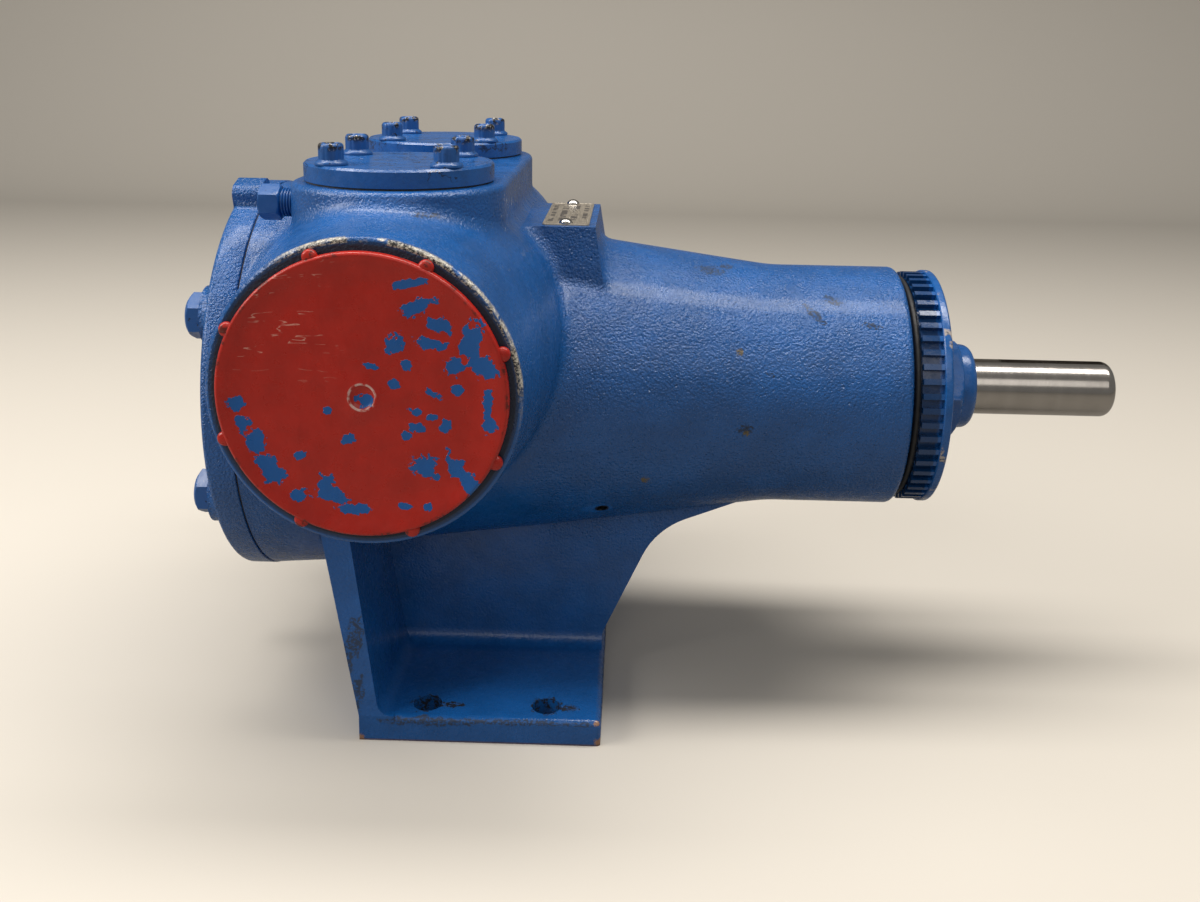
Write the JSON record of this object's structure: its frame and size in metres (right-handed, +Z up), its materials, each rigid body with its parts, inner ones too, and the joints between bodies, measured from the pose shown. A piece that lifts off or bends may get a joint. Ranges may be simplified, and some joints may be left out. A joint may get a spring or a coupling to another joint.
{
  "type": "gear pump",
  "caption": "Foot-mounted internal gear pump with two opposed side ports, round valve covers on top and a long bearing barrel with a keyed drive shaft.",
  "frame": {"origin": "centre of the foot's four bolt holes, on the surface that the foot stands on", "axes": "+X along the shaft towards its keyed end, +Y towards the rear port, +Z up"},
  "size_m": [0.4518, 0.3144, 0.2797],
  "materials": {
    "blue_painted_iron": "glossy blue paint over sand-cast iron",
    "blue_painted_steel": "glossy blue paint over machined steel",
    "blue_painted_fasteners": "blue paint, worn to bare metal on edges",
    "gasket_fibre": "pressed fibre sheet",
    "ground_steel": "ground and oiled steel",
    "machined_iron": "machined iron",
    "bronze": "sintered bronze",
    "carbon": "lapped carbon graphite",
    "ceramic": "lapped ceramic",
    "plain_steel": "plain steel",
    "bright_steel": "polished hardened steel",
    "pressed_brass": "machined brass",
    "black_rubber": "black nitrile rubber",
    "red_plastic": "soft moulded plastic",
    "nameplate_metal": "bare metal plate with printed fields"
  },
  "bodies": {
    "pump_casing": {"casing": "blue_painted_iron", "head": "blue_painted_iron", "head_gasket": "gasket_fibre", "head_cap_screws": "blue_painted_fasteners", "idler_pin": "ground_steel", "shaft_bushing": "bronze", "seal_stationary_seat": "ceramic", "front_cover_plate": "blue_painted_steel", "rear_cover_plate": "blue_painted_steel", "front_cover_gasket": "gasket_fibre", "rear_cover_gasket": "gasket_fibre", "front_cover_screws": "blue_painted_fasteners", "rear_cover_screws": "blue_painted_fasteners", "front_gauge_plug": "blue_painted_fasteners", "rear_gauge_plug": "blue_painted_fasteners", "front_port_cap": "red_plastic", "rear_port_cap": "red_plastic", "nameplate": "nameplate_metal", "nameplate_drive_screws": "bright_steel"},
    "clearance_adjuster": {"bearing_housing": "blue_painted_steel", "housing_o_ring": "black_rubber", "bearing_end_cap": "blue_painted_steel", "outer_lip_seal": "black_rubber", "inner_lip_seal": "black_rubber", "bearing_outer_race": "bright_steel"},
    "rotor_and_shaft": {"rotor": "machined_iron", "shaft": "ground_steel", "seal_drive_collar": "plain_steel", "seal_spring": "plain_steel", "seal_rotating_ring": "carbon", "bearing_inner_race": "bright_steel", "bearing_lock_washer": "plain_steel", "bearing_lock_nut": "plain_steel"},
    "idler": {"idler_gear": "machined_iron", "idler_bushing": "bronze"},
    "ball_cage": {"bearing_cage": "pressed_brass", "bearing_balls": "bright_steel"}
  },
  "joints": [
    {"name": "rotor_spin", "type": "hinge", "parent": "pump_casing", "child": "rotor_and_shaft", "pos_m": [-0.0403, 0, 0.1524], "axis": [1, 0, 0], "continuous": true},
    {"name": "idler_spin", "type": "hinge", "parent": "pump_casing", "child": "idler", "pos_m": [-0.0403, 0, 0.1674], "axis": [1, 0, 0], "continuous": true},
    {"name": "cage_spin", "type": "hinge", "parent": "pump_casing", "child": "ball_cage", "pos_m": [-0.0403, 0, 0.1524], "axis": [1, 0, 0], "continuous": true},
    {"name": "adjuster_turn", "type": "hinge", "parent": "pump_casing", "child": "clearance_adjuster", "pos_m": [-0.0403, 0, 0.1524], "axis": [1, 0, 0], "range_deg": [-30, 30]}
  ],
  "couplings": [
    {"joint": "idler_spin", "follows": "rotor_spin", "ratio": 1.375},
    {"joint": "cage_spin", "follows": "rotor_spin", "ratio": 0.3852}
  ]
}
